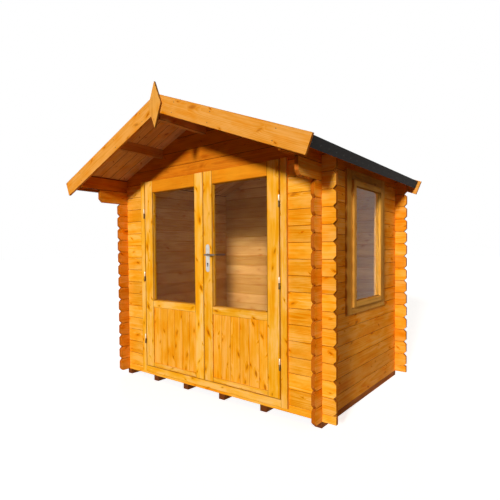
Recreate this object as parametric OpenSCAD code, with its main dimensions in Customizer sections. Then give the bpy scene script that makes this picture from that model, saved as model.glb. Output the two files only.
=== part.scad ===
// Small garden cabin of interlocking logs with a canopy roof and glazed double doors.
// Lengths are in millimetres. +X runs to the right along the front, the doors face -Y, +Z is up,
// and the origin is on the ground under the middle of the whole outline.

/* [Plan] */
// Width over the outer faces of the side walls
cabin_w = 2100; // [1950:10:2600]
// Depth over the outer faces of the front and back walls
cabin_d = 1500; // [1300:10:2200]
// Length of the log ends that run past each crossing
log_end = 100; // [70:5:140]

/* [Logs] */
// Thickness of a log
log_t = 28; // [24:1:36]
// Height of one course of logs
log_h = 114; // [104:1:124]
// Courses in a side wall, counting the one that carries the roof
courses = 16; // [15:1:18]
// Corner cut off each log end
end_chamfer = 22; // [8:1:28]
// Bevel along the edges of a log
edge_bevel = 2.5; // [1:0.5:4]
// Width of the tongue at its root
tongue_w = 9; // [6:0.5:11]
// Height of the tongue
tongue_h = 7; // [4:0.5:9]
// Narrowing of the tongue on each side
tongue_taper = 1.2; // [0.5:0.1:1.5]
// Gap left in every joint between two logs
log_gap = 0.3; // [0.2:0.1:0.5]
// Forward reach of the course under the roof-bearing log
corbel_reach = 300; // [200:10:360]
// Corner cut off the lower front of that course
corbel_chamfer = 30; // [15:1:50]

/* [Base] */
// Places of the ground bearers as shares of the way from the left bearer to the right one
bearer_shares = [0, 0.19, 0.38, 0.58, 0.78, 1]; // [0:0.01:1]
// Width of a bearer
bearer_w = 56; // [40:1:70]
// Height of a bearer
bearer_h = 45; // [30:1:70]
// Step from the wall's outer face to the outer bearer's side
bearer_inset = 4; // [0:1:10]
// Thickness of the floor
floor_t = 18; // [14:1:26]
// Gap between the floor and the walls
floor_gap = 5; // [3:1:10]

/* [Roof] */
// Slope of the roof in degrees
roof_pitch = 22; // [18:1:26]
// Reach of the canopy in front of the front wall
canopy = 478; // [400:1:650]
// Reach of the roof behind the back wall
rear_reach = 70; // [40:5:80]
// Reach of the deck's upper edge beyond the side wall
eave_reach = 160; // [130:1:240]
// Thickness of the roof deck
deck_t = 18; // [14:1:24]
// Thickness of the roofing felt
felt_t = 3; // [2:0.5:5]
// Length down each slope of the felt strip over the ridge
cap_len = 160; // [100:5:250]
// Thickness of the board along each eave
eave_board_t = 12; // [8:1:20]
// Drop of that board below the deck
eave_board_drop = 46; // [25:1:60]
// Width of a purlin
purlin_w = 44; // [36:1:60]
// Depth of the ridge purlin
ridge_purlin_h = 155; // [110:1:180]
// Depth of a side purlin
side_purlin_h = 64; // [55:1:110]
// Distance of a side purlin from the ridge
side_purlin_x = 520; // [430:5:600]
// Width of a bargeboard
barge_w = 122; // [100:1:150]
// Thickness of a bargeboard
barge_t = 18; // [14:1:24]
// Height of a bargeboard above the felt
barge_stand = 6; // [5:1:12]
// Length of a bargeboard past the felt's edge
barge_past = 26; // [10:1:50]
// Width of the gable finial
finial_w = 134; // [100:1:170]
// Height of the gable finial
finial_h = 330; // [250:5:380]
// Thickness of the gable finial
finial_t = 16; // [12:1:24]
// Height of the finial's tip above the bargeboards' peak
finial_rise = 82; // [40:1:110]

/* [Doorway] */
// Clear width between the jambs
door_w = 1478; // [1300:2:1500]
// Width of a jamb seen from the front
jamb_w = 54; // [46:1:64]
// Height of a jamb's lower end above the walls' underside
jamb_foot = 30; // [10:1:40]
// Projection of the frame in front of the wall
frame_proud = 20; // [15:1:28]
// Projection of the frame behind the wall
frame_back = 20; // [15:1:28]
// Depth of the groove that takes the log ends
jamb_groove = 16; // [10:1:20]
// Height of the doorway's cut into the log above it
head_cut = 18; // [10:1:24]
// Height of the threshold above the lowest front log
threshold_h = 29; // [20:1:45]
// Width of the stop that the leaves close on
stop_w = 14; // [10:1:20]

/* [Door leaves] */
// Thickness of a leaf
leaf_t = 38; // [34:1:44]
// Projection of a leaf in front of the wall
leaf_proud = 22; // [16:1:28]
// Gap beside and between the leaves
leaf_gap = 6; // [5:0.5:8]
// Gap over and under the leaves
foot_gap = 5; // [5:0.5:8]
// Width of the stile on the hinge side
hinge_stile_w = 105; // [85:1:125]
// Width of the stile where the leaves meet
meeting_stile_w = 95; // [85:1:120]
// Height of the top rail
top_rail_h = 105; // [70:1:130]
// Height of the middle rail
mid_rail_h = 64; // [50:1:90]
// Height of the middle rail's underside above the leaf's foot
panel_top = 544; // [400:1:700]
// Height of the bottom rail
bottom_rail_h = 37; // [32:1:80]
// Thickness of the boarded panel
panel_t = 14; // [10:1:18]
// Recess of the panel behind the leaf's front
panel_recess = 10; // [6:1:14]
// Thickness of the glass
glass_t = 4; // [3:0.5:6]
// Recess of the glass behind the leaf's front
glass_recess = 25; // [18:1:27]
// Depth to which glass and panels are let into their frames
groove_depth = 9; // [6:1:12]

/* [Ironmongery] */
// Radius of a hinge barrel
barrel_r = 7; // [6:0.5:9]
// Height of a hinge
hinge_h = 90; // [70:1:110]
// Radius of a hinge pin
pin_r = 4; // [3:0.5:4.5]
// Height of the lowest hinge above the leaf's foot
hinge_low = 247; // [150:1:320]
// Depth of the highest hinge below the leaf's head
hinge_high = 290; // [150:1:320]
// Width of a lock plate
plate_w = 40; // [34:1:46]
// Height of a lock plate
plate_h = 222; // [200:1:260]
// Thickness of a lock plate
plate_t = 3; // [2:0.5:5]
// Height of the lever's axis above the leaf's foot
lever_z = 1022; // [850:1:1150]
// Distance of the lever's axis below the plate's top
lever_drop = 84; // [60:1:110]
// Length of the lever's grip
lever_len = 105; // [85:1:125]
// Radius of the lever's grip
lever_r = 7; // [6:0.5:9]
// Distance of the lever's axis line from the plate
lever_stand = 42; // [34:1:55]
// Radius of the spindle
spindle_r = 4.5; // [3.5:0.5:5]
// Distance of the keyhole below the lever's axis
key_drop = 72; // [60:1:85]
// Radius of the keyhole's round end
key_r = 8; // [4:0.5:9]

/* [Window] */
// Courses of logs under the window
window_sill_course = 6; // [5:1:8]
// Width of the hole in the wall
window_w = 730; // [600:10:800]
// Lap of the window frame over the logs
window_lap = 22; // [14:1:30]
// Projection of the window frame outside and inside
window_proud = 16; // [10:1:24]
// Width of the frame's upright inside the hole
window_upright_w = 64; // [45:1:80]
// Height of the frame's sill inside the hole
window_sill_h = 30; // [18:1:40]
// Height of the frame's head inside the hole
window_head_h = 46; // [30:1:70]
// Projection of the sash in front of the frame
sash_proud = 17; // [8:1:24]
// Thickness of the sash
sash_t = 40; // [38:1:50]
// Width of a sash stile
sash_stile_w = 42; // [34:1:60]
// Height of a sash rail
sash_rail_h = 42; // [36:1:65]
// Gap beside and over the sash
sash_gap = 2; // [1:0.5:4]
// Recess of the window glass behind the sash's front
sash_glass_recess = 22; // [20:1:28]

/* [Hidden] */

honey = [0.90, 0.55, 0.13];
amber = [0.86, 0.46, 0.08];
straw = [0.93, 0.68, 0.26];
tan_wood = [0.66, 0.44, 0.22];
russet = [0.42, 0.20, 0.11];
felt_black = [0.10, 0.11, 0.12];
steel = [0.66, 0.67, 0.68];
clear_glass = [0.72, 0.80, 0.80, 0.35];

$fn = 48;
overrun = 1;
seat = 0.3;

// Places along the plan, measured from the front wall's outer face and the walls' underside
half_w = cabin_w / 2;
front_outline = canopy + barge_t + finial_t;
rear_outline = cabin_d + max(log_end, rear_reach + barge_t);
wall_y = (front_outline - rear_outline) / 2;
front_cross = log_t / 2;
back_cross = cabin_d - log_t / 2;
side_cross = half_w - log_t / 2;
front_logs_z = log_h / 2;
lintel_z = front_logs_z + (courses - 1) * log_h;

// Log joints
groove_w = tongue_w + 2 * log_gap;
groove_h = tongue_h + log_gap;
body_h = log_h - log_gap;
notch_w = log_t + 2 * log_gap;
low_notch = log_h / 4 + log_gap / 2;
high_notch = log_h / 4 - log_gap / 2;

// Roof planes: the deck's underside meets the side walls' middle at the top of the last course
roof_tan = tan(roof_pitch);
roof_cos = cos(roof_pitch);
roof_sin = sin(roof_pitch);
apex_z = courses * log_h + side_cross * roof_tan;
deck_len = (half_w + eave_reach - deck_t * roof_sin) / roof_cos;
eave_in = deck_len + seat;
eave_out = eave_in + eave_board_t;
felt_in = eave_out + seat;
felt_len = felt_in + felt_t;
felt_low = deck_t + seat;
felt_high = felt_low + felt_t;
cap_low = felt_high + seat;
cap_high = cap_low + felt_t;
barge_len = felt_len + barge_past;
barge_top = felt_high + barge_stand;
barge_low = barge_top - barge_w;
roof_front = -canopy;
roof_back = cabin_d + rear_reach;
roof_len = roof_back - roof_front;
gable_courses = floor((apex_z - lintel_z) / log_h);

// Doorway
jamb_in = door_w / 2;
jamb_out = jamb_in + jamb_w;
front_logs_x = jamb_out - jamb_groove + log_gap;
frame_front = -frame_proud;
frame_rear = log_t + frame_back;
threshold_top = front_logs_z + threshold_h;
doorway_top = lintel_z + head_cut;
frame_head = doorway_top - log_gap;
leaf_front = -leaf_proud;
leaf_rear = leaf_front + leaf_t;
leaf_foot = threshold_top + foot_gap;
leaf_head = doorway_top - foot_gap;
leaf_h = leaf_head - leaf_foot;
leaf_out = jamb_in - leaf_gap;
leaf_in = leaf_gap / 2;
field_out = leaf_out - hinge_stile_w;
field_in = leaf_in + meeting_stile_w;
field_w = field_out - field_in;
glass_foot = leaf_foot + panel_top + mid_rail_h;
glass_head = leaf_head - top_rail_h;
panel_foot = leaf_foot + bottom_rail_h;
panel_head = leaf_foot + panel_top;
stop_front = leaf_rear + leaf_gap;

// Hinges and lock
hinge_x = jamb_in - leaf_gap / 2;
hinge_y = leaf_front - barrel_r - 2 * seat;
hinge_top = leaf_head - hinge_high;
hinge_foot = leaf_foot + hinge_low;
hinge_heights = [hinge_foot, (hinge_foot + hinge_top) / 2, hinge_top];
pin_len = hinge_h / 2 - pin_r;
lug_w = barrel_r - leaf_gap / 4;
lug_h = hinge_h / 4;
lock_x = leaf_in + meeting_stile_w / 2;
lock_z = leaf_foot + lever_z;
plate_foot = lock_z + lever_drop - plate_h;
key_z = lock_z - key_drop;
key_slot_w = key_r;
key_slot_h = 3 * key_r;
outer_grip_y = leaf_front - plate_t - lever_stand;
inner_grip_y = leaf_rear + plate_t + lever_stand;

// Window
window_mid = cabin_d / 2;
window_foot = window_sill_course * log_h;
window_top = (courses - 1) * log_h;
window_y0 = window_mid - window_w / 2;
window_y1 = window_mid + window_w / 2;
wall_out = half_w;
wall_in = half_w - log_t;
light_y0 = window_y0 + window_upright_w;
light_y1 = window_y1 - window_upright_w;
light_foot = window_foot + window_sill_h;
light_head = window_top - window_head_h;
sash_front = wall_out + window_proud + sash_proud;
sash_y0 = light_y0 + sash_gap;
sash_y1 = light_y1 - sash_gap;
sash_foot = light_foot + seat;
sash_head = light_head - sash_gap;

// Moves a shape from the walls' own corner to the part's frame
module stand() {
    translate([0, wall_y, bearer_h]) children();
}

// A block between two corners
module block(low, high) {
    translate(low) cube(high - low);
}

// An outline in X and Z, given depth along Y
module upright_slab(points, y0, y1) {
    translate([0, y1, 0]) rotate([90, 0, 0]) linear_extrude(y1 - y0) polygon(points);
}

// The right-hand shape and its mirror image
module both_sides() {
    children();
    mirror([1, 0, 0]) children();
}

// Cross-section of a log: bevelled edges, a tongue on top and a groove underneath
function log_section(h, grooved) =
    let (a = log_t / 2, top = h - log_gap, tip = tongue_w / 2 - tongue_taper,
         inner = groove_w / 2 - tongue_taper)
    concat(
        grooved
            ? [[-groove_w / 2, 0], [-inner, groove_h], [inner, groove_h], [groove_w / 2, 0]]
            : [],
        [
            [a - edge_bevel, 0], [a, edge_bevel], [a, top - edge_bevel], [a - edge_bevel, top],
            [tongue_w / 2, top], [tip, top + tongue_h], [-tip, top + tongue_h], [-tongue_w / 2, top],
            [edge_bevel - a, top], [-a, top - edge_bevel], [-a, edge_bevel], [edge_bevel - a, 0]
        ]
    );

// Side view of a log from end u0 to end u1. Each end has its lower and upper corner cut.
// A notch is [middle, width, depth], counted from the underside or from the shoulders of the tongue.
function log_side(u0, u1, h, cuts0, cuts1, low_notches, high_notches) =
    let (shoulder = h - log_gap, top = shoulder + tongue_h + overrun, cut_past = tongue_h + overrun)
    concat(
        [[u0, cuts0[0] - (cuts0[0] > 0 ? 0 : overrun)]],
        cuts0[0] > 0 ? [[u0 + cuts0[0] + overrun, -overrun]] : [],
        [for (n = low_notches) each [
            [n[0] - n[1] / 2, -overrun], [n[0] - n[1] / 2, n[2]],
            [n[0] + n[1] / 2, n[2]], [n[0] + n[1] / 2, -overrun]]],
        cuts1[0] > 0 ? [[u1 - cuts1[0] - overrun, -overrun]] : [],
        [[u1, cuts1[0] - (cuts1[0] > 0 ? 0 : overrun)]],
        [[u1, cuts1[1] > 0 ? shoulder - cuts1[1] : top]],
        cuts1[1] > 0 ? [[u1 - cuts1[1] - cut_past, top]] : [],
        [for (i = [len(high_notches) - 1 : -1 : 0]) let (n = high_notches[i]) each [
            [n[0] + n[1] / 2, top], [n[0] + n[1] / 2, shoulder - n[2]],
            [n[0] - n[1] / 2, shoulder - n[2]], [n[0] - n[1] / 2, top]]],
        cuts0[1] > 0 ? [[u0 + cuts0[1] + cut_past, top]] : [],
        [[u0, cuts0[1] > 0 ? shoulder - cuts0[1] : top]]
    );

crossed = [end_chamfer, end_chamfer];
plain = [0, 0];

// One log along X, its outer face on y = 0 and its underside on z = 0
module log(u0, u1, cuts0, cuts1, low_notches, high_notches, h = log_h, grooved = true) {
    intersection() {
        translate([u0 - overrun, log_t / 2, 0]) rotate([90, 0, 90])
            linear_extrude(u1 - u0 + 2 * overrun) polygon(log_section(h, grooved));
        upright_slab(log_side(u0, u1, h, cuts0, cuts1, low_notches, high_notches),
                     -overrun, log_t + overrun);
    }
}

// The notch pairs where a log crosses other walls
function low_crossings(places) = [for (p = places) [p, notch_w, low_notch]];
function high_crossings(places) = [for (p = places) [p, notch_w, high_notch]];

// A whole log with a crossing near each end, or a short one that stops at a frame
module crossing_log(u0, u1, cuts0, cuts1, places) {
    log(u0, u1, cuts0, cuts1, low_crossings(places), high_crossings(places));
}

// Puts a log made along X into the right or the left wall, running from front to back
module in_right_wall() {
    translate([half_w, 0, 0]) rotate([0, 0, 90]) children();
}
module in_left_wall() {
    translate([log_t - half_w, 0, 0]) rotate([0, 0, 90]) children();
}

// Puts a log made in the front wall into the back wall
module in_back_wall() {
    translate([0, cabin_d - log_t, 0]) children();
}

// A point on the right slope: distance down the slope, height above the deck's underside
function slope_point(down, up) =
    [down * roof_cos + up * roof_sin, apex_z - down * roof_sin + up * roof_cos];

// A point on the right slope above a place x
function slope_above(x, up) = [x, apex_z - x * roof_tan + up / roof_cos];

// A layer of the right slope, cut plumb at the ridge and square at its lower end
function slope_layer(low, high, len) = [
    slope_above(seat / 2, low), slope_point(len, low), slope_point(len, high), slope_above(seat / 2, high)
];

// Everything below the deck, over the whole length of the roof
module under_roof() {
    edge = half_w + eave_reach + log_end;
    upright_slab([
        [-edge, -overrun], [edge, -overrun], slope_above(edge, -seat), slope_above(0, -seat),
        slope_above(edge, -seat) - [2 * edge, 0]
    ], roof_front - overrun, roof_back + overrun);
}

// Outlines of the purlins under the deck, with a margin round their sides and undersides
function side_purlin_outline(margin) =
    let (x0 = side_purlin_x - purlin_w / 2 - margin, x1 = side_purlin_x + purlin_w / 2 + margin,
         foot = slope_above(side_purlin_x, 0)[1] - side_purlin_h - margin)
    [[x0, foot], [x1, foot], slope_above(x1, margin - seat), slope_above(x0, margin - seat)];

function ridge_purlin_outline(margin) =
    let (x1 = purlin_w / 2 + margin, foot = apex_z - ridge_purlin_h - margin,
         eaves = slope_above(x1, margin - seat))
    [[-x1, foot], [x1, foot], eaves, slope_above(0, margin - seat), eaves - [2 * x1, 0]];

module purlin_seats() {
    both_sides() upright_slab(side_purlin_outline(log_gap), -overrun, log_t + overrun);
    upright_slab(ridge_purlin_outline(log_gap), -overrun, log_t + overrun);
}

// Gable logs, cut to the slopes, with seats for the purlins and any cuts under the lowest one
module gable_logs(under_cuts) {
    reach = half_w + log_end;
    difference() {
        intersection() {
            for (i = [0 : gable_courses - 1]) {
                z = lintel_z + i * log_h;
                last = i == gable_courses - 1;
                low_notches = i == 0
                    ? concat(low_crossings([-side_cross]), under_cuts, low_crossings([side_cross]))
                    : [];
                translate([0, 0, z])
                    log(-reach, reach, crossed, crossed, low_notches, [], h = last ? apex_z - z : log_h);
            }
            under_roof();
        }
        purlin_seats();
    }
}

// The log over a side wall that carries the deck, run out to both bargeboards
module roof_log() {
    translate([0, 0, (courses - 1) * log_h])
        crossing_log(roof_front, roof_back, plain, plain, [front_cross, back_cross]);
}

// The ordinary courses of a side wall, from one course to another
module side_courses(first, last, u0, u1, cuts0, cuts1, places) {
    for (i = [first : last]) {
        translate([0, 0, i * log_h]) crossing_log(u0, u1, cuts0, cuts1, places);
    }
}

// The course under the roof log, run out in front as a corbel
module corbel_log(u1, cuts1, places) {
    translate([0, 0, (courses - 2) * log_h])
        crossing_log(-corbel_reach, u1, [corbel_chamfer, 0], cuts1, places);
}

module bearers() {
    outer = half_w - bearer_inset - bearer_w / 2;
    color(russet) stand()
        for (share = bearer_shares) {
            x = (2 * share - 1) * outer;
            block([x - bearer_w / 2, 0, -bearer_h], [x + bearer_w / 2, cabin_d, 0]);
        }
}

module floor_slab() {
    x1 = half_w - log_t - floor_gap;
    color(tan_wood) stand()
        block([-x1, log_t + floor_gap, 0], [x1, cabin_d - log_t - floor_gap, floor_t]);
}

module front_bottom_log() {
    reach = half_w + log_end;
    color(honey) stand()
        log(-reach, reach, [0, 0], [0, 0], [],
            [[-side_cross, notch_w, high_notch], [0, 2 * front_logs_x, 0], [side_cross, notch_w, high_notch]],
            h = log_h / 2, grooved = false);
}

// The front wall's courses beside the doorway
module front_side_logs() {
    for (i = [0 : courses - 2]) {
        translate([0, 0, front_logs_z + i * log_h])
            crossing_log(front_logs_x, half_w + log_end, plain, crossed, [side_cross]);
    }
}

module front_left_logs() {
    color(honey) stand() mirror([1, 0, 0]) front_side_logs();
}

module front_right_logs() {
    color(honey) stand() front_side_logs();
}

module front_gable_logs() {
    color(honey) stand() gable_logs([[0, 2 * front_logs_x, head_cut]]);
}

module back_logs() {
    reach = half_w + log_end;
    places = [-side_cross, side_cross];
    color(honey) stand() in_back_wall() {
        log(-reach, reach, [0, 0], [0, 0], [], high_crossings(places), h = log_h / 2, grooved = false);
        for (i = [0 : courses - 2]) {
            translate([0, 0, front_logs_z + i * log_h])
                crossing_log(-reach, reach, crossed, crossed, places);
        }
    }
}

module back_gable_logs() {
    color(honey) stand() in_back_wall() gable_logs([]);
}

module left_logs() {
    places = [front_cross, back_cross];
    u1 = cabin_d + log_end;
    color(amber) stand() in_left_wall() {
        side_courses(0, courses - 3, -log_end, u1, crossed, crossed, places);
        corbel_log(u1, crossed, places);
    }
}

module left_roof_log() {
    color(amber) stand() intersection() {
        in_left_wall() roof_log();
        under_roof();
    }
}

module right_logs_below_window() {
    places = [front_cross, back_cross];
    u1 = cabin_d + log_end;
    color(amber) stand() in_right_wall() {
        side_courses(0, window_sill_course - 2, -log_end, u1, crossed, crossed, places);
        translate([0, 0, (window_sill_course - 1) * log_h])
            log(-log_end, u1, crossed, crossed, low_crossings(places),
                [[front_cross, notch_w, high_notch], [window_mid, window_w, 0],
                 [back_cross, notch_w, high_notch]]);
    }
}

module right_logs_before_window() {
    color(amber) stand() in_right_wall() {
        side_courses(window_sill_course, courses - 3, -log_end, window_y0, crossed, plain, [front_cross]);
        corbel_log(window_y0, plain, [front_cross]);
    }
}

module right_logs_behind_window() {
    color(amber) stand() in_right_wall()
        side_courses(window_sill_course, courses - 2, window_y1, cabin_d + log_end,
                     plain, crossed, [back_cross]);
}

module right_roof_log() {
    color(amber) stand() intersection() {
        in_right_wall() roof_log();
        under_roof();
    }
}

module ridge_purlin() {
    color(tan_wood) stand() upright_slab(ridge_purlin_outline(0), roof_front, roof_back);
}

module side_purlin() {
    upright_slab(side_purlin_outline(0), roof_front, roof_back);
}

module left_purlin() {
    color(tan_wood) stand() mirror([1, 0, 0]) side_purlin();
}

module right_purlin() {
    color(tan_wood) stand() side_purlin();
}

module roof_deck() {
    upright_slab(slope_layer(0, deck_t, deck_len), roof_front, roof_back);
}

module left_roof_deck() {
    color(tan_wood) stand() mirror([1, 0, 0]) roof_deck();
}

module right_roof_deck() {
    color(tan_wood) stand() roof_deck();
}

module eave_board() {
    upright_slab([
        slope_point(eave_in, -eave_board_drop), slope_point(eave_out, -eave_board_drop),
        slope_point(eave_out, deck_t), slope_point(eave_in, deck_t)
    ], roof_front, roof_back);
}

module eave_boards() {
    color(amber) stand() both_sides() eave_board();
}

// The felt lies on the deck and turns down over the eave board
module felt() {
    upright_slab([
        slope_above(seat / 2, felt_low), slope_point(felt_in, felt_low),
        slope_point(felt_in, -eave_board_drop), slope_point(felt_len, -eave_board_drop),
        slope_point(felt_len, felt_high), slope_above(seat / 2, felt_high)
    ], roof_front, roof_back);
}

module left_felt() {
    color(felt_black) stand() mirror([1, 0, 0]) felt();
}

module right_felt() {
    color(felt_black) stand() felt();
}

module ridge_felt() {
    half = [
        slope_above(0, cap_low), slope_point(cap_len, cap_low),
        slope_point(cap_len, cap_high), slope_above(0, cap_high)
    ];
    color(felt_black) stand() upright_slab([
        half[0], half[1], half[2], half[3],
        [-half[2][0], half[2][1]], [-half[1][0], half[1][1]]
    ], roof_front, roof_back);
}

module bargeboards(y0) {
    both_sides() upright_slab(slope_layer(barge_low, barge_top, barge_len), y0, y0 + barge_t);
}

module front_bargeboards() {
    color(honey) stand() bargeboards(roof_front - barge_t);
}

module rear_bargeboards() {
    color(honey) stand() bargeboards(roof_back);
}

module finial() {
    tip = slope_above(0, barge_top)[1] + finial_rise;
    waist = tip - finial_h / 2;
    back = roof_front - barge_t;
    color(honey) stand() upright_slab([
        [0, tip], [-finial_w / 2, waist], [0, tip - finial_h], [finial_w / 2, waist]
    ], back - finial_t, back);
}

// A jamb is a channel that holds the log ends and stands on the lowest log
module door_jamb() {
    groove_x = jamb_out - jamb_groove;
    difference() {
        block([jamb_in, frame_front, jamb_foot], [jamb_out, frame_rear, frame_head]);
        block([groove_x, -log_gap, jamb_foot - overrun], [jamb_out + overrun, log_t + log_gap, doorway_top]);
        block([jamb_in - overrun, -log_gap, jamb_foot - overrun],
              [jamb_out, log_t + log_gap, front_logs_z]);
    }
}

module door_jambs() {
    color(straw) stand() both_sides() door_jamb();
}

module door_threshold() {
    color(straw) stand() difference() {
        block([-jamb_in, frame_front, jamb_foot], [jamb_in, frame_rear, threshold_top]);
        block([-jamb_in - overrun, -log_gap, jamb_foot - overrun],
              [jamb_in + overrun, log_t + log_gap, front_logs_z]);
    }
}

module door_stops() {
    inner = jamb_in - stop_w;
    color(straw) stand() {
        both_sides() block([inner, stop_front, threshold_top], [jamb_in, frame_rear, frame_head]);
        block([-inner + seat, stop_front, frame_head - 2 * stop_w], [inner - seat, frame_rear, frame_head]);
    }
}

// The half of a hinge on the jamb: a barrel with the pin, and a lug onto the jamb's face
module frame_hinge() {
    translate([hinge_x, hinge_y, 0]) {
        translate([0, 0, -hinge_h / 2]) cylinder(r = barrel_r, h = hinge_h / 2 - seat);
        translate([0, 0, -hinge_h / 4]) cylinder(r = pin_r, h = hinge_h / 4 + pin_len);
    }
    block([jamb_in, hinge_y, -3 * lug_h / 2], [hinge_x + lug_w, frame_front, -lug_h / 2]);
}

// The half of a hinge on the leaf: a bored barrel and a lug onto the stile's face
module leaf_hinge() {
    difference() {
        union() {
            translate([hinge_x, hinge_y, 0]) cylinder(r = barrel_r, h = hinge_h / 2);
            block([hinge_x - lug_w, hinge_y, lug_h / 2], [leaf_out, leaf_front, 3 * lug_h / 2]);
        }
        translate([hinge_x, hinge_y, -overrun]) cylinder(r = pin_r + seat / 2, h = pin_len + 2 * overrun);
    }
}

module frame_hinges() {
    color(steel) stand() both_sides() for (z = hinge_heights) {
        translate([0, 0, z]) frame_hinge();
    }
}

// Room for a sheet let into its frame, wider than the sheet by a seat on each face
module sheet_room(x0, x1, z0, z1, front, t) {
    block([x0 - groove_depth - seat, front - seat, z0 - groove_depth - seat],
          [x1 + groove_depth + seat, front + t + seat, z1 + groove_depth + seat]);
}

module leaf_rooms() {
    sheet_room(field_in, field_out, glass_foot, glass_head, leaf_front + glass_recess, glass_t);
    sheet_room(field_in, field_out, panel_foot, panel_head, leaf_front + panel_recess, panel_t);
}

module leaf_stiles() {
    difference() {
        union() {
            block([leaf_in, leaf_front, leaf_foot], [field_in, leaf_rear, leaf_head]);
            block([field_out, leaf_front, leaf_foot], [leaf_out, leaf_rear, leaf_head]);
        }
        leaf_rooms();
    }
}

module leaf_rails() {
    difference() {
        for (span = [[leaf_foot, panel_foot], [panel_head, glass_foot], [glass_head, leaf_head]]) {
            block([field_in, leaf_front, span[0]], [field_out, leaf_rear, span[1]]);
        }
        leaf_rooms();
    }
}

module leaf_panel() {
    front = leaf_front + panel_recess;
    block([field_in - groove_depth, front, panel_foot - groove_depth],
          [field_out + groove_depth, front + panel_t, panel_head + groove_depth]);
}

module leaf_glass() {
    front = leaf_front + glass_recess;
    block([field_in - groove_depth, front, glass_foot - groove_depth],
          [field_out + groove_depth, front + glass_t, glass_head + groove_depth]);
}

module leaf_hinges() {
    for (z = hinge_heights) {
        translate([0, 0, z]) leaf_hinge();
    }
}

module left_leaf_stiles() {
    color(straw) stand() mirror([1, 0, 0]) leaf_stiles();
}

module left_leaf_rails() {
    color(amber) stand() mirror([1, 0, 0]) leaf_rails();
}

module left_leaf_panel() {
    color(honey) stand() mirror([1, 0, 0]) leaf_panel();
}

module left_leaf_glass() {
    color(clear_glass) stand() mirror([1, 0, 0]) leaf_glass();
}

module left_leaf_hinges() {
    color(steel) stand() mirror([1, 0, 0]) leaf_hinges();
}

// The right leaf has a bore through its meeting stile for the lever's spindle
module right_leaf_stiles() {
    color(straw) stand() difference() {
        leaf_stiles();
        translate([lock_x, leaf_front - overrun, lock_z]) rotate([-90, 0, 0])
            cylinder(r = 2 * spindle_r, h = leaf_t + 2 * overrun);
    }
}

module right_leaf_rails() {
    color(amber) stand() leaf_rails();
}

module right_leaf_panel() {
    color(honey) stand() leaf_panel();
}

module right_leaf_glass() {
    color(clear_glass) stand() leaf_glass();
}

module right_leaf_hinges() {
    color(steel) stand() leaf_hinges();
}

// A lock plate with round ends, a spindle bore and a keyhole, its back on y = 0
module lock_plate() {
    end_r = plate_w / 2;
    rotate([90, 0, 0]) linear_extrude(plate_t) difference() {
        union() {
            translate([lock_x - end_r, plate_foot + end_r]) square([plate_w, plate_h - plate_w]);
            translate([lock_x, plate_foot + end_r]) circle(r = end_r);
            translate([lock_x, plate_foot + plate_h - end_r]) circle(r = end_r);
        }
        translate([lock_x, lock_z]) circle(r = spindle_r + seat);
        translate([lock_x, key_z]) circle(r = key_r);
        translate([lock_x - key_slot_w / 2, key_z - key_slot_h]) square([key_slot_w, key_slot_h]);
    }
}

module lock_plates() {
    color(steel) stand() {
        translate([0, leaf_front, 0]) lock_plate();
        translate([0, leaf_rear + plate_t, 0]) lock_plate();
    }
}

// The lever: one spindle through the leaf with a grip on each face, pointing to the hinges
module lever_grip(y) {
    translate([lock_x, y, lock_z]) {
        rotate([0, 90, 0]) cylinder(r = lever_r, h = lever_len);
        sphere(r = lever_r);
        translate([lever_len, 0, 0]) sphere(r = lever_r);
    }
}

module lever_handle() {
    color(steel) stand() {
        lever_grip(outer_grip_y);
        lever_grip(inner_grip_y);
        translate([lock_x, outer_grip_y, lock_z]) rotate([-90, 0, 0])
            cylinder(r = spindle_r, h = inner_grip_y - outer_grip_y);
    }
}

// One bar of the window frame: a core in the wall's hole between an outer and an inner lap
module window_bar(lap_low, lap_high, core_low, core_high) {
    block([wall_out, lap_low[0], lap_low[1]], [wall_out + window_proud, lap_high[0], lap_high[1]]);
    block([wall_in, core_low[0], core_low[1]], [wall_out, core_high[0], core_high[1]]);
    block([wall_in - window_proud, lap_low[0], lap_low[1]], [wall_in, lap_high[0], lap_high[1]]);
}

module window_frame() {
    out_y0 = window_y0 - window_lap;
    out_y1 = window_y1 + window_lap;
    out_foot = window_foot - window_lap;
    out_head = window_top + window_lap;
    hole_y0 = window_y0 + seat;
    hole_y1 = window_y1 - seat;
    hole_foot = window_foot + seat;
    hole_head = window_top - seat;
    color(straw) stand() {
        window_bar([out_y0, out_foot], [light_y0, out_head], [hole_y0, hole_foot], [light_y0, hole_head]);
        window_bar([light_y1, out_foot], [out_y1, out_head], [light_y1, hole_foot], [hole_y1, hole_head]);
        window_bar([light_y0 + seat, out_foot], [light_y1 - seat, light_foot],
                   [light_y0 + seat, hole_foot], [light_y1 - seat, light_foot]);
        window_bar([light_y0 + seat, light_head], [light_y1 - seat, out_head],
                   [light_y0 + seat, light_head], [light_y1 - seat, hole_head]);
    }
}

module sash_glass_room(margin) {
    front = sash_front - sash_glass_recess;
    block([front - glass_t - margin, sash_y0 + sash_stile_w - groove_depth - margin,
           sash_foot + sash_rail_h - groove_depth - margin],
          [front + margin, sash_y1 - sash_stile_w + groove_depth + margin,
           sash_head - sash_rail_h + groove_depth + margin]);
}

module window_sash() {
    back = sash_front - sash_t;
    rail_y0 = sash_y0 + sash_stile_w + seat;
    rail_y1 = sash_y1 - sash_stile_w - seat;
    color(honey) stand() difference() {
        union() {
            block([back, sash_y0, sash_foot], [sash_front, sash_y0 + sash_stile_w, sash_head]);
            block([back, sash_y1 - sash_stile_w, sash_foot], [sash_front, sash_y1, sash_head]);
            block([back, rail_y0, sash_foot], [sash_front, rail_y1, sash_foot + sash_rail_h]);
            block([back, rail_y0, sash_head - sash_rail_h], [sash_front, rail_y1, sash_head]);
        }
        sash_glass_room(seat);
    }
}

module window_glass() {
    color(clear_glass) stand() sash_glass_room(0);
}

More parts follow.
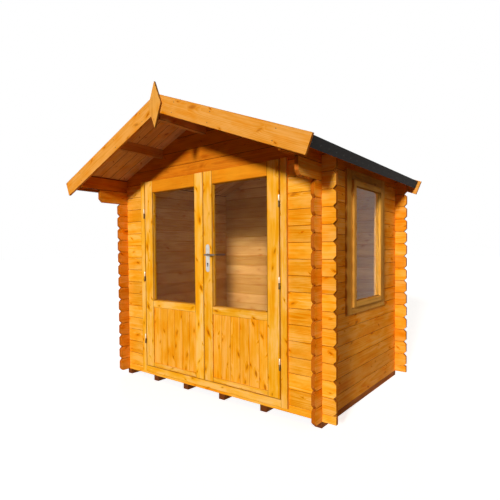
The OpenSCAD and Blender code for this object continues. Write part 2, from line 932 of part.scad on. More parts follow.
bearers();
floor_slab();  // floor
front_bottom_log();
front_left_logs();
front_right_logs();
front_gable_logs();
back_logs();
back_gable_logs();
left_logs();
left_roof_log();
right_logs_below_window();
right_logs_before_window();
right_logs_behind_window();
right_roof_log();
ridge_purlin();
left_purlin();
right_purlin();
left_roof_deck();
right_roof_deck();
eave_boards();
left_felt();
right_felt();
ridge_felt();
front_bargeboards();
rear_bargeboards();
finial();
door_jambs();
door_threshold();
door_stops();
frame_hinges();
window_frame();
window_sash();
window_glass();
left_leaf_stiles();
left_leaf_rails();
left_leaf_panel();
left_leaf_glass();
left_leaf_hinges();
right_leaf_stiles();
right_leaf_rails();
right_leaf_panel();
right_leaf_glass();
right_leaf_hinges();
lock_plates();
lever_handle();
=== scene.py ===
"""Dresses the log cabin: eased logs, boarded roof, floor and door panels, felt, beads and ironmongery."""

import math
import random

import bmesh
import bpy
from bpy.props import FloatProperty, FloatVectorProperty, IntProperty, PointerProperty
from mathutils import Matrix, Vector, noise


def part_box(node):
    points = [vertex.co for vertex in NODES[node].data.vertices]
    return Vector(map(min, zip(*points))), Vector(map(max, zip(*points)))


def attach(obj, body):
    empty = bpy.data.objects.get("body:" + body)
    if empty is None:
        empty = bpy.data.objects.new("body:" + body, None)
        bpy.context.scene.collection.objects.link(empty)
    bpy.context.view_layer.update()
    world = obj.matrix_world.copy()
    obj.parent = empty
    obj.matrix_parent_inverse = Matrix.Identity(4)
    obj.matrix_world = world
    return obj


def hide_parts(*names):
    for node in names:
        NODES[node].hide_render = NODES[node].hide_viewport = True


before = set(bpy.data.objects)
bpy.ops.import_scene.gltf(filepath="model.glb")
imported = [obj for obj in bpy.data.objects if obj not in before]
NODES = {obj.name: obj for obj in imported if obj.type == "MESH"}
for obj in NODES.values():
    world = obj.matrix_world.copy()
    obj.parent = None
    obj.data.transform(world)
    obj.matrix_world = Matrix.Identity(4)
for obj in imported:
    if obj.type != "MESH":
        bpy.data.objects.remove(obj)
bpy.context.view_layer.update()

bl_info = {
    "name": "Log cabin",
    "version": (1, 0, 0),
    "blender": (4, 5, 0),
    "location": "3D View > Sidebar > Cabin",
    "description": "Finishes the log cabin's timber, roofing, glazing and ironmongery",
    "category": "Object",
}

# Places that part.scad settles, in metres, and the roof's slope
PITCH = math.radians(22)
APEX_Z = 0.045 + 16 * 0.114 + 1.036 * math.tan(PITCH)
WALL_FRONT_Y = -0.544
WALL_BACK_Y = 0.956
LOG_T = 0.028
TONGUE = 0.007
DECK_T = 0.018
EAVE_RUN = 1.3104
TOP_RAIL_Z = 1.66
INSIDE_X = 1.0225
REBATE = 0.009
HINGE_X = 0.736
HINGE_R = 0.007
LOCK_X = 0.0505
LOCK_Z = 0.045 + 1.113
KEY_DROP = 0.072
GRIP_OUTSIDE_Y = WALL_FRONT_Y - 0.067
GRIP_INSIDE_Y = WALL_FRONT_Y + 0.061
BODIES = {"left": "left_door", "right": "right_door"}

# Sections of the glazing beads: share of the width, and distance off the pane
OUTER_BEAD = ((0.0, 0.0002), (1.0, 0.0002), (1.0, 0.003), (0.75, 0.009), (0.3, 0.014), (0.0, 0.014))
INNER_BEAD = ((0.0, 0.0002), (1.0, 0.0002), (1.0, 0.003), (0.4, 0.0075), (0.0, 0.0075))


def colour(name, text, default):
    return FloatVectorProperty(
        name=name, description=text, subtype="COLOR", size=3, min=0.0, max=1.0, default=default
    )


def length(name, text, default):
    return FloatProperty(name=name, description=text, default=default, min=0.0, unit="LENGTH", precision=4)


def amount(name, text, default):
    return FloatProperty(name=name, description=text, default=default, min=0.0)


def angle(name, text, default):
    return FloatProperty(name=name, description=text, default=default, subtype="ANGLE")


def heading(name, text, default):
    return FloatVectorProperty(name=name, description=text, default=default, subtype="DIRECTION")


# Colours of each timber's pale and deep grain
STAINS = {
    "log": ("Log", "the front logs", (0.99, 0.485, 0.092), (0.80, 0.19, 0.003)),
    # The side colours are a redder copy of the log stain: painted shade for the walls that the key light
    # doesn't face.
    "side": ("Side log", "side and back logs", (0.99, 0.435, 0.078), (0.82, 0.165, 0.002)),
    # The gable colours are a deeper stain that also paints shade on the logs under the canopy and eaves.
    "gable": ("Gable", "the gable logs", (0.73, 0.225, 0.009), (0.52, 0.110, 0.003)),
    "door": ("Joinery", "doors and frames", (1.0, 0.54, 0.15), (0.84, 0.245, 0.005)),
    "panel": ("Panel", "the door panels", (0.99, 0.455, 0.074), (0.80, 0.205, 0.004)),
    "rail": ("Rail", "top rails and eave boards", (0.87, 0.315, 0.012), (0.70, 0.19, 0.004)),
    "trim": ("Trim", "the bargeboards", (0.89, 0.395, 0.082), (0.76, 0.225, 0.018)),
    "finial": ("Finial", "the finial", (0.86, 0.385, 0.066), (0.62, 0.21, 0.022)),
    "sash": ("Window", "the window", (0.80, 0.40, 0.066), (0.47, 0.165, 0.015)),
    # The roof boards' pale, bright colour is partly their wood and partly painted light on the soffit under
    # the canopy.
    "roof": ("Roof board", "the roof boards", (0.99, 0.58, 0.215), (0.70, 0.32, 0.090)),
    # The purlins' darker colour is partly their stain and partly painted shade under the canopy.
    "purlin": ("Purlin", "ridge and purlins", (0.74, 0.37, 0.105), (0.50, 0.20, 0.040)),
    "bare": ("Bare pine", "floor and room side", (0.67, 0.36, 0.098), (0.46, 0.175, 0.034)),
    "bearer": ("Bearer", "the bearers", (0.46, 0.15, 0.04), (0.22, 0.06, 0.014)),
}


class CabinTimber(bpy.types.PropertyGroup):
    """Sizes of boards, beads and eased edges."""

    ease: length("Eased edge", "Rounding of the edges of logs and joinery", 0.0009)
    arris: length("Door arris", "Rounding of the long edges of the doors' stiles and rails", 0.0045)
    roof_board: length("Roof board", "Width of a roof board", 0.0975)
    floor_board: length("Floor board", "Width of a floor board", 0.0915)
    panel_board: length("Panel board", "Width of a board in the door panels", 0.0914)
    vee: length("V-joint", "Bevel at the joints of roof and panel boards", 0.0022)
    bead: length("Glazing bead", "Width of the beads that hold the glass", 0.005)


class CabinRoofing(bpy.types.PropertyGroup):
    """Sizes of the felt strips and their nails."""

    felt: length("Felt", "Thickness of one layer of felt", 0.0026)
    lap_at: length("Lap", "Distance of the lap from the ridge", 0.62)
    lap: length("Lap width", "Width by which the strips overlap", 0.075)
    nail_pitch: length("Nail pitch", "Distance between the nails of a row", 0.1)
    nail: length("Nail head", "Radius of a felt nail's head", 0.0045)


class CabinFinish(bpy.types.PropertyGroup):
    """Colours of stain, bare timber, felt and steel."""

    knot: colour("Knot", "Heart of a knot", (0.47, 0.10, 0.001))
    felt: colour("Felt", "Bitumen felt", (0.013, 0.012, 0.012))
    grit: colour("Grit", "Mineral grit on the felt", (0.036, 0.035, 0.034))
    steel: colour("Satin steel", "Lock plates", (0.62, 0.60, 0.56))
    lever: colour("Lever steel", "Darker steel of the lever", (0.34, 0.29, 0.23))
    # The two hinge colours are one steel: the leaves' bright halves carry a painted highlight, the frame's
    # dark halves painted shade.
    hinge: colour("Hinge steel", "Bright steel of the leaves' hinge halves", (0.78, 0.62, 0.42))
    pintle: colour("Pintle steel", "Dark steel of the frame's hinge halves", (0.13, 0.08, 0.035))
    zinc: colour("Zinc", "Nail heads", (0.055, 0.053, 0.05))


for key, (title, wood, *shades) in STAINS.items():
    for grain, shade in zip(("pale", "deep"), shades):
        CabinFinish.__annotations__[f"{key}_{grain}"] = colour(
            f"{title}, {grain} grain", f"Colour of the {grain} grain of {wood}", shade
        )


class CabinStage(bpy.types.PropertyGroup):
    """Light, floor and camera."""

    sun: amount("Key light", "Strength of the key light", 3.12)
    sun_width: angle("Key width", "Apparent width of the key light", math.radians(7))
    sun_travel: heading("Key direction", "Way that the key light travels", (-0.19, 0.945, -0.262))
    side: amount("Side light", "Strength of the soft light on the window side", 0.68)
    side_width: angle("Side width", "Apparent width of the side light", math.radians(34))
    side_travel: heading("Side direction", "Way that the side light travels", (-0.84, -0.06, -0.54))
    side_colour: colour("Side colour", "Colour of the side light", (1.0, 0.75, 0.48))
    rear: amount("Rear light", "Strength of the soft light on back and left", 1.7)
    rear_width: angle("Rear width", "Apparent width of the rear light", math.radians(40))
    rear_travel: heading("Rear direction", "Way that the rear light travels", (0.60, -0.74, -0.27))
    fill: amount("Fill", "Strength of the light from all sides", 0.02)
    floor: colour("Floor", "Pale studio floor", (0.80, 0.80, 0.80))
    floor_bounce: amount("Floor bounce", "Share of the floor's light that reaches the cabin", 0.25)
    floor_lift: amount("Floor lift", "How much the floor is paled towards white", 0.73)
    eye: FloatVectorProperty(
        name="Camera", description="Place of the camera", subtype="TRANSLATION",
        default=(2.3082, -2.9981, 1.1882),
    )
    yaw: angle("Yaw", "Turn to the left of straight ahead", 0.675)
    dip: angle("Dip", "Tilt below the horizon", 0.029)
    roll: angle("Roll", "Turn about the line of sight", -0.008)
    lens: FloatProperty(name="Lens", description="Focal length in millimetres", default=29.604)
    shift_x: FloatProperty(name="Shift X", description="Sideways shift of the frame", default=0.0238)
    shift_y: FloatProperty(name="Shift Y", description="Upward shift of the frame", default=0.0254)
    seed: IntProperty(name="Seed", description="Start of the random draws for the grain", default=7)


class Shade:
    """Builds the node tree of a material or of the world in a few words."""

    def __init__(self, owner, output="ShaderNodeOutputMaterial"):
        owner.use_nodes = True
        self.owner = owner
        self.tree = owner.node_tree
        self.tree.nodes.clear()
        self.out = self.node(output)

    def node(self, kind, **values):
        made = self.tree.nodes.new(kind)
        for key, value in values.items():
            setattr(made, key, value)
        return made

    def put(self, socket, value):
        if isinstance(value, bpy.types.NodeSocket):
            self.tree.links.new(value, socket)
        else:
            socket.default_value = value

    def wire(self, kind, inputs, **values):
        """The outputs of a new node, with its inputs given in order or by name."""
        made = self.node(kind, **values)
        for key, value in inputs.items() if isinstance(inputs, dict) else enumerate(inputs):
            self.put(made.inputs[key], value)
        return made.outputs

    def math(self, operation, a, b=0.0, c=0.0, clamp=False):
        return self.wire("ShaderNodeMath", (a, b, c), operation=operation, use_clamp=clamp)[0]

    def times(self, a, b):
        return self.math("MULTIPLY", a, b)

    def scaled(self, value, by, plus):
        return self.math("MULTIPLY_ADD", value, by, plus)

    def vector(self, operation, a, b=(0.0, 0.0, 0.0)):
        outputs = self.wire("ShaderNodeVectorMath", (a, b), operation=operation)
        return outputs["Value" if operation in ("LENGTH", "DOT_PRODUCT") else "Vector"]

    def split(self, vector):
        return self.wire("ShaderNodeSeparateXYZ", [vector])

    def join(self, x, y, z):
        return self.wire("ShaderNodeCombineXYZ", (x, y, z))[0]

    def attribute(self, name):
        made = self.node("ShaderNodeAttribute", attribute_type="GEOMETRY", attribute_name=name)
        return made.outputs["Vector"]

    def place(self):
        return self.node("ShaderNodeTexCoord").outputs["Object"]

    def noise(self, vector, scale, detail=2.0, rough=0.5):
        inputs = {"Vector": vector, "Scale": scale, "Detail": detail, "Roughness": rough}
        return self.wire("ShaderNodeTexNoise", inputs)

    def voronoi(self, vector, scale):
        inputs = {"Vector": vector, "Scale": scale}
        return self.wire("ShaderNodeTexVoronoi", inputs, feature="F1", voronoi_dimensions="2D")

    def ease(self, value, low, high, to_low=0.0, to_high=1.0):
        inputs = (value, low, high, to_low, to_high)
        return self.wire("ShaderNodeMapRange", inputs, interpolation_type="SMOOTHSTEP")[0]

    def mix(self, share, a, b):
        made = self.node("ShaderNodeMix", data_type="RGBA")
        self.put(made.inputs["Factor"], share)
        for key, value in (("A", a), ("B", b)):
            socket = next(s for s in made.inputs if s.name == key and s.type == "RGBA")
            self.put(socket, value if isinstance(value, bpy.types.NodeSocket) else (*value, 1.0))
        return next(s for s in made.outputs if s.type == "RGBA")

    def bump(self, height, strength, distance):
        inputs = {"Height": height, "Strength": strength, "Distance": distance}
        return self.wire("ShaderNodeBump", inputs)[0]

    def surface(self, **sockets):
        made = self.node("ShaderNodeBsdfPrincipled")
        for key, value in sockets.items():
            self.put(made.inputs[key.replace("_", " ")], value)
        self.show(made)
        return made

    def show(self, made):
        self.tree.links.new(made.outputs[0], self.out.inputs["Surface"])

    def seen(self):
        """1 for rays from the camera, a reflection or through glass, otherwise 0."""
        path = self.node("ShaderNodeLightPath")
        shown = path.outputs["Is Camera Ray"]
        for key in ("Is Glossy Ray", "Is Transmission Ray"):
            shown = self.math("MAXIMUM", shown, path.outputs[key])
        return shown


def knot_marks(s, along, up, knots, girth):
    """Knot, its heart, its halo and how far the rings bend round it, each from 0 to 1.

    Some cells of a coarse pattern on the board's face hold a knot, drawn out at a slant.
    """
    place = s.join(s.times(along, 7.0), s.times(up, 10.0), 0.0)
    ragged = s.vector("SUBTRACT", s.noise(place, 6.0, 2.0)["Color"], (0.5, 0.5, 0.5))
    cells = s.voronoi(s.vector("ADD", place, s.vector("MULTIPLY", ragged, (0.14, 0.14, 0.0))), 1.0)
    pick, size, force = s.split(cells["Color"])
    kept = s.times(s.math("LESS_THAN", pick, knots), s.scaled(force, 0.55, 0.45))
    off_x, off_y, _ = s.split(s.vector("SUBTRACT", place, cells["Position"]))
    lean = s.scaled(force, 2.4, -1.2)
    cross = s.math("ADD", off_y, s.times(off_x, lean))
    drawn = s.vector("LENGTH", s.join(s.times(off_x, 0.55), s.times(cross, 1.5), 0.0))
    near = s.scaled(drawn, 0.6, s.times(cells["Distance"], 0.4))
    reach = s.scaled(s.math("POWER", size, 2.0), 0.07 * girth, 0.03 * girth)
    near = s.math("DIVIDE", near, reach)
    fades = ((1.5, 0.6), (0.6, 0.2), (3.6, 1.0), (4.5, 0.5))
    return [s.times(s.ease(near, outer, inner), kept) for outer, inner in fades]


def pine(
    name, pale, deep, bare=None, spread=0.26, knots=0.5, girth=1.0, joint=0.75, streaks=0.34, rough=0.5,
    sides=0.0, line=0.945, fade=0.0,
):
    """Softwood along each board's own grain: rings round a heart, streaks, fibres, knots and end grain.

    The mesh carries the grain: "grain" is the place along, across and through the board in metres,
    "board" is a random tone and the place as a share of the half width and half depth, and "along"
    and "across" are the board's axes. With bare colours, what faces the room is left unstained.

    Spread is how far the boards' tones differ, knots the share of places that hold one, girth their
    size, joint how dark an edge gets from the line outwards, with gathered stain and painted shade in
    the grooves, sides how much painted shade darkens the boards' narrow edges, and fade how fast the
    cream of the pale grain gives way to the stain.
    """
    knot_tone = bpy.context.scene.cabin_finish.knot
    s = Shade(bpy.data.materials.new(name))
    grain = s.attribute("grain")
    along, across, through = s.split(grain)
    tone, wide_edge, deep_edge = s.split(s.attribute("board"))
    normal = s.node("ShaderNodeTexCoord").outputs["Normal"]

    def faces(axis):
        """How squarely the surface faces along an axis that the mesh carries."""
        return s.math("ABSOLUTE", s.vector("DOT_PRODUCT", s.attribute(axis), normal))

    def stretched(a, b):
        """The grain's place, scaled along and across the board."""
        return s.vector("MULTIPLY", grain, (a, b, b))

    # On a board's edge the pattern across it runs through the board instead
    flank = s.math("GREATER_THAN", faces("across"), 0.8)

    def turned(on_face, on_edge):
        """The first value on the board's broad faces, the second on its edges."""
        return s.scaled(flank, s.math("SUBTRACT", on_edge, on_face), on_face)

    knot, heart, halo, bend = knot_marks(s, along, turned(across, through), knots, girth)

    # Rings
    drift = s.noise(stretched(0.9, 5.0), 1.0, 2.0)["Color"]
    wander = s.vector("MULTIPLY", s.vector("SUBTRACT", drift, (0.5, 0.5, 0.5)), (0.0, 0.05, 0.05))
    off_heart = s.vector("MULTIPLY", s.vector("ADD", grain, wander), (0.0, 1.0, 1.0))
    radius = s.vector("LENGTH", off_heart)
    phase = s.scaled(bend, 1.6, s.times(radius, 150.0))
    ring = s.math("FRACT", phase)
    late = s.times(s.ease(ring, 0.25, 0.9), s.ease(ring, 1.0, 0.93))

    # Streaks, clouds and fibres
    streak = s.noise(stretched(2.0, 46.0), 1.0, 3.0, 0.6)["Fac"]
    cloud = s.noise(stretched(4.0, 11.0), 1.0, 3.0, 0.6)["Fac"]
    fibre = s.noise(stretched(9.0, 420.0), 1.0, 2.0)["Fac"]
    share = s.scaled(late, 0.34, s.ease(streak, 0.36, 0.68, 0.0, streaks))
    share = s.math("ADD", share, s.ease(cloud, 0.3, 0.7, -0.2, 0.26))
    share = s.math("MULTIPLY_ADD", halo, 0.45, share, clamp=True)

    stained = s.mix(share, pale, deep)
    if fade:
        cream = s.math("POWER", s.math("SUBTRACT", 1.0, share), fade)
        stained = s.vector("MULTIPLY", stained, s.join(1.0, 1.0, cream))
    blotch = s.ease(s.noise(stretched(6.0, 15.0), 1.0, 2.0)["Fac"], 0.5, 0.72, 0.0, 0.8)
    stained = s.mix(blotch, stained, s.vector("MULTIPLY", stained, (1.0, 0.86, 0.4)))
    if bare:
        x, y, _ = s.split(s.place())
        slack = 0.0007
        inside = s.math("LESS_THAN", s.math("ABSOLUTE", x), INSIDE_X)
        behind = s.math("GREATER_THAN", y, WALL_FRONT_Y + LOG_T - slack)
        before = s.math("LESS_THAN", y, WALL_BACK_Y - LOG_T + slack)
        inside = s.times(s.times(inside, behind), before)
        stained = s.mix(inside, stained, s.mix(share, *bare))

    # End grain drinks more stain
    end = s.ease(faces("along"), 0.5, 0.68)
    soaked = s.times(end, s.scaled(late, 0.3, 0.68))
    stained = s.mix(soaked, stained, (0.52 * deep[0], 0.42 * deep[1], 0.4 * deep[2]))
    # Painted shade on the boards' narrow edges, darkened towards the deep colour
    if sides:
        stained = s.mix(s.times(flank, sides), stained, [0.35 * c for c in deep])

    # Board by board tone, and darkening along the joints: gathered stain and painted shade in the grooves
    level = s.scaled(tone, spread, 1.0 - 0.62 * spread)
    level = s.times(level, s.scaled(fibre, 0.24, 0.88))
    rim = s.math("ABSOLUTE", turned(wide_edge, deep_edge))
    joint_stain_and_shade = s.times(s.ease(rim, line, line + 0.035), joint)
    level = s.times(level, s.math("SUBTRACT", 1.0, joint_stain_and_shade))
    tones = s.join(level, s.math("POWER", level, 1.35), s.math("POWER", level, 2.5))
    toned = s.vector("MULTIPLY", stained, tones)
    dark = s.mix(s.times(knot, 0.92), toned, knot_tone)
    final = s.mix(s.times(heart, 0.3), dark, [c * 0.7 for c in knot_tone])

    height = s.scaled(late, 0.35, s.times(fibre, 0.6))
    height = s.scaled(knot, -0.3, height)
    s.surface(
        Base_Color=final,
        Roughness=s.scaled(end, 0.22, s.scaled(streak, 0.16, rough - 0.08)),
        Specular_IOR_Level=0.02,
        Normal=s.bump(height, 0.35, 0.0006),
    )
    return s.owner


def felt_material():
    """Black roofing felt with mineral grit and faint dusty drifts."""
    finish = bpy.context.scene.cabin_finish
    s = Shade(bpy.data.materials.new("roofing_felt_grit"))
    place = s.place()
    speck = s.noise(place, 620.0, 2.0, 0.7)["Fac"]
    drift = s.noise(place, 4.5, 3.0)["Fac"]
    share = s.times(s.ease(speck, 0.55, 0.75), s.ease(drift, 0.2, 0.8, 0.35, 1.0))
    s.surface(
        Base_Color=s.mix(share, finish.felt, finish.grit),
        Roughness=s.scaled(speck, 0.2, 0.78),
        Specular_IOR_Level=0.25,
        Normal=s.bump(s.math("ADD", speck, s.times(drift, 1.5)), 0.55, 0.0012),
    )
    return s.owner


def steel_material(name, tone, rough):
    """Satin metal with a brushed, slightly clouded face."""
    s = Shade(bpy.data.materials.new(name))
    place = s.place()
    brush = s.noise(s.vector("MULTIPLY", place, (900.0, 900.0, 40.0)), 1.0, 2.0)["Fac"]
    cloud = s.noise(place, 38.0, 2.0)["Fac"]
    s.surface(
        Base_Color=s.mix(s.ease(cloud, 0.3, 0.75), [c * 0.82 for c in tone], tone),
        Metallic=1.0,
        Roughness=s.scaled(brush, 0.16, s.scaled(cloud, 0.12, rough)),
        Normal=s.bump(brush, 0.12, 0.0002),
    )
    return s.owner


def glass_material():
    """Clear float glass that lets the key light into the room, with a trace of haze."""
    s = Shade(bpy.data.materials.new("clear_float_glass"))
    haze = s.noise(s.place(), 5.0, 3.0)["Fac"]
    pane = s.surface(
        Base_Color=(0.95, 0.95, 0.93, 1.0), Transmission_Weight=1.0, IOR=1.12,
        Roughness=s.ease(haze, 0.3, 0.8, 0.0, 0.03),
    )
    clear = s.node("ShaderNodeBsdfTransparent")
    s.put(clear.inputs["Color"], (0.84, 0.85, 0.83, 1.0))
    swap = s.node("ShaderNodeMixShader")
    s.put(swap.inputs["Fac"], s.node("ShaderNodeLightPath").outputs["Is Shadow Ray"])
    s.tree.links.new(pane.outputs[0], swap.inputs[1])
    s.tree.links.new(clear.outputs[0], swap.inputs[2])
    s.show(swap)
    return s.owner


# Softwood finishes: material, pair of colours, whether its room side is bare, and how the grain is drawn
PINES = {
    "log": ("stained_log", "log", True, dict(
        spread=0.2, knots=0.42, girth=1.25, joint=0.65, streaks=0.27, fade=2.6,
    )),
    "side": ("stained_side_log", "side", True, dict(
        spread=0.24, knots=0.42, girth=1.25, joint=0.7, streaks=0.27, fade=2.6,
    )),
    "gable": ("stained_gable_log", "gable", True, dict()),
    "door": ("stained_joinery", "door", False, dict(
        spread=0.14, knots=0.7, girth=1.3, joint=0.55, streaks=0.28, line=0.905, fade=3.0,
    )),
    "rail": ("stained_rail", "rail", False, dict(spread=0.12, knots=0.35, joint=0.4, streaks=0.3)),
    "panel": ("stained_panel_board", "panel", False, dict(
        spread=0.1, knots=0.7, girth=1.5, joint=0.3, streaks=0.22, fade=3.0,
    )),
    "trim": ("stained_trim", "trim", False, dict(
        spread=0.08, knots=0.7, girth=1.7, joint=0.3, streaks=0.24, fade=0.7,
    )),
    # The finial's sides value paints shade on its narrow edges.
    "finial": ("stained_finial", "finial", False, dict(spread=0.05, joint=0.2, streaks=0.2, sides=0.8)),
    "sash": ("stained_window", "sash", False, dict(spread=0.14, knots=0.4, joint=0.4, streaks=0.3)),
    "roof": ("stained_roof_board", "roof", True, dict()),
    "purlin": ("stained_purlin", "purlin", True, dict()),
    "floor": ("bare_floor_board", "bare", False, dict(joint=0.4)),
    "bearer": ("treated_bearer", "bearer", False, dict(knots=0.3, joint=0.1, rough=0.74)),
}

# Metal finishes: material, colour and roughness
METALS = {
    "steel": ("satin_steel_fitting", "steel", 0.3),
    "lever": ("dark_steel_lever", "lever", 0.28),
    "hinge": ("bright_steel_hinge", "hinge", 0.3),
    "pintle": ("dark_steel_pintle", "pintle", 0.34),
    # The keyway takes the near-black felt colour as painted shade inside the keyhole.
    "dark": ("dark_keyway", "felt", 0.5),
    "zinc": ("zinc_nail", "zinc", 0.38),
}
MADE = {}


def finish_for(name):
    """The material of that name, made the first time it is asked for."""
    if name not in MADE:
        tones = bpy.context.scene.cabin_finish
        if name in PINES:
            title, key, bare, grain = PINES[name]
            room_side = (tones.bare_pale, tones.bare_deep) if bare else None
            pale, deep = getattr(tones, f"{key}_pale"), getattr(tones, f"{key}_deep")
            MADE[name] = pine(title, pale, deep, room_side, **grain)
        elif name in METALS:
            title, key, rough = METALS[name]
            MADE[name] = steel_material(title, getattr(tones, key), rough)
        else:
            MADE[name] = {"felt": felt_material, "glass": glass_material}[name]()
    return MADE[name]


def set_down(name, bm, material):
    """Turns a bmesh into an object at the origin with one material."""
    mesh = bpy.data.meshes.new(name)
    bm.to_mesh(mesh)
    bm.free()
    mesh.materials.append(material)
    made = bpy.data.objects.new(name, mesh)
    bpy.context.scene.collection.objects.link(made)
    return made


def new_piece(name, bm, finish, body, hides=()):
    """Turns a bmesh into a piece that rides on a body and may stand for CAD nodes."""
    if not bm.faces:
        raise RuntimeError(f"{name} has no faces")
    bmesh.ops.remove_doubles(bm, verts=bm.verts, dist=1e-6)
    piece = set_down(name, bm, finish_for(finish))
    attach(piece, body)
    if hides:
        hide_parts(*hides)
    return piece


def islands(bm):
    """The bmesh's vertices, one list for each separate solid."""
    seen, groups = set(), []
    for start in bm.verts:
        if start in seen:
            continue
        seen.add(start)
        group, queue = [], [start]
        while queue:
            vert = queue.pop()
            group.append(vert)
            for edge in vert.link_edges:
                other = edge.other_vert(vert)
                if other not in seen:
                    seen.add(other)
                    queue.append(other)
        groups.append(group)
    return groups


def lay_grain(bm, name, turn=None, tongue=0.0):
    """Gives each solid its own grain along its longest side, measured in a turned frame if there is one.

    The tongue's height, hidden in the log above, isn't counted in a log's width.
    """
    layers = [bm.verts.layers.float_vector.new(key) for key in ("grain", "board", "along", "across")]
    draws = random.Random(f"{name}{bpy.context.scene.cabin_stage.seed}")
    for group in islands(bm):
        middle = sum((v.co for v in group), Vector()) / len(group)
        frame_of = turn(middle) if turn else Matrix.Identity(3)
        back = frame_of.inverted()
        local = [back @ v.co for v in group]
        low = [min(p[i] for p in local) for i in range(3)]
        high = [max(p[i] for p in local) for i in range(3)]
        high[2] -= tongue
        order = sorted(range(3), key=lambda i: low[i] - high[i])
        tone, start, side, deep = (draws.random() for _ in range(4))
        from_heart = (11.0 * start, 0.12 * (side - 0.5), 0.015 + 0.06 * deep)
        half = [max((high[i] - low[i]) / 2, 1e-4) for i in range(3)]
        centre = [(high[i] + low[i]) / 2 for i in range(3)]
        axis, flank = (frame_of @ Vector([float(i == order[k]) for i in range(3)]) for k in (0, 1))
        for vert, place in zip(group, local):
            off = [place[i] - centre[i] for i in order]
            vert[layers[0]] = [a + b for a, b in zip(off, from_heart)]
            vert[layers[1]] = (tone, off[1] / half[order[1]], off[2] / half[order[2]])
            vert[layers[2]] = axis
            vert[layers[3]] = flank


def block(bm, low, high):
    """A box between two corners; returns its vertices."""
    verts = bmesh.ops.create_cube(bm, size=1.0)["verts"]
    low, high = Vector(low), Vector(high)
    bmesh.ops.scale(bm, vec=high - low, verts=verts)
    bmesh.ops.translate(bm, vec=(low + high) / 2, verts=verts)
    return verts


def soften(bm, edges, width, segments=2):
    bmesh.ops.bevel(
        bm, geom=list(edges), offset=width, offset_type="OFFSET", segments=segments, profile=0.5,
        affect="EDGES", clamp_overlap=True, material=-1,
    )


def edges_of(verts):
    """Each edge at those vertices, once and in a steady order."""
    return list(dict.fromkeys(e for v in verts for e in v.link_edges))


def edges_along(verts, axis, least=0.1):
    """The edges of those vertices that run along an axis."""
    return [e for e in edges_of(verts) if abs(e.verts[0].co[axis] - e.verts[1].co[axis]) > least]


def board_spans(low, high, width, gap):
    """Start and end of each board where boards of about that width fill a length."""
    count = round((high - low) / width)
    step = (high - low) / count
    return [(low + i * step + gap, low + (i + 1) * step - gap) for i in range(count)]


def round_off(bm):
    """Points the faces of turned or swept shapes outwards and shades all but their ends as round."""
    bmesh.ops.recalc_face_normals(bm, faces=bm.faces)
    for face in bm.faces:
        face.smooth = len(face.verts) < 5


def eased_copy(node, width, arris=0.0):
    """A merged copy of a CAD node with its sharp edges rounded, the long front and rear ones by the arris."""
    bm = bmesh.new()
    bm.from_mesh(NODES[node].data)
    bmesh.ops.remove_doubles(bm, verts=bm.verts, dist=2e-5)
    bmesh.ops.dissolve_limit(
        bm, angle_limit=math.radians(0.5), use_dissolve_boundaries=False, verts=bm.verts, edges=bm.edges,
        delimit=set(),
    )
    if arris:
        low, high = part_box(node)
        soften(bm, [
            e for e in bm.edges
            if e.calc_length() > 0.3 and all(min(v.co.y - low.y, high.y - v.co.y) < 1e-4 for v in e.verts)
        ], arris, 5)
    soften(bm, [e for e in bm.edges if e.is_manifold and e.calc_face_angle(0.0) > math.radians(20)], width)
    return bm


def timber(node, finish, body, turn=None, tongue=0.0, arris=0.0):
    """An eased, grained piece that stands for one CAD node of solid timber."""
    bm = eased_copy(node, bpy.context.scene.cabin_timber.ease, arris)
    name = f"{node}_timber"
    lay_grain(bm, name, turn, tongue)
    return new_piece(name, bm, finish, body, [node])


def slope_frame(side):
    """Axes of a roof slope as columns: down the slope, along the roof, off the slope. Side is 1 or -1."""
    return Matrix((
        (side * math.cos(PITCH), 0.0, side * math.sin(PITCH)),
        (0.0, float(side), 0.0),
        (-math.sin(PITCH), 0.0, math.cos(PITCH)),
    ))


def slope_place(side):
    """Moves a shape made in slope coordinates to that slope."""
    return Matrix.Translation((0.0, 0.0, APEX_Z)) @ slope_frame(side).to_4x4()


def raise_prism(bm, outline, y0, y1):
    """A prism along Y over an outline of (x, z) points; returns its vertices."""
    verts = [bm.verts.new((x, y0, z)) for x, z in outline]
    face = bm.faces.new(verts)
    grown = bmesh.ops.extrude_face_region(bm, geom=[face])["geom"]
    far = [g for g in grown if isinstance(g, bmesh.types.BMVert)]
    bmesh.ops.translate(bm, vec=(0.0, y1 - y0, 0.0), verts=far)
    verts += far
    bmesh.ops.recalc_face_normals(bm, faces=list({f for v in verts for f in v.link_faces}))
    return verts


def nail_head(bm, place, outward, radius, rise):
    """A low domed head with its back on a surface."""
    made = bmesh.ops.create_cone(
        bm, cap_ends=True, segments=10, radius1=radius, radius2=radius * 0.62, depth=rise
    )["verts"]
    turn = Vector(outward).to_track_quat("Z", "Y").to_matrix().to_4x4()
    seat = Vector(place) + Vector(outward).normalized() * rise * 0.45
    bmesh.ops.transform(bm, matrix=Matrix.Translation(seat) @ turn, verts=made)


def even_places(low, high, pitch):
    count = max(2, round((high - low) / pitch) + 1)
    return [low + (high - low) * i / (count - 1) for i in range(count)]


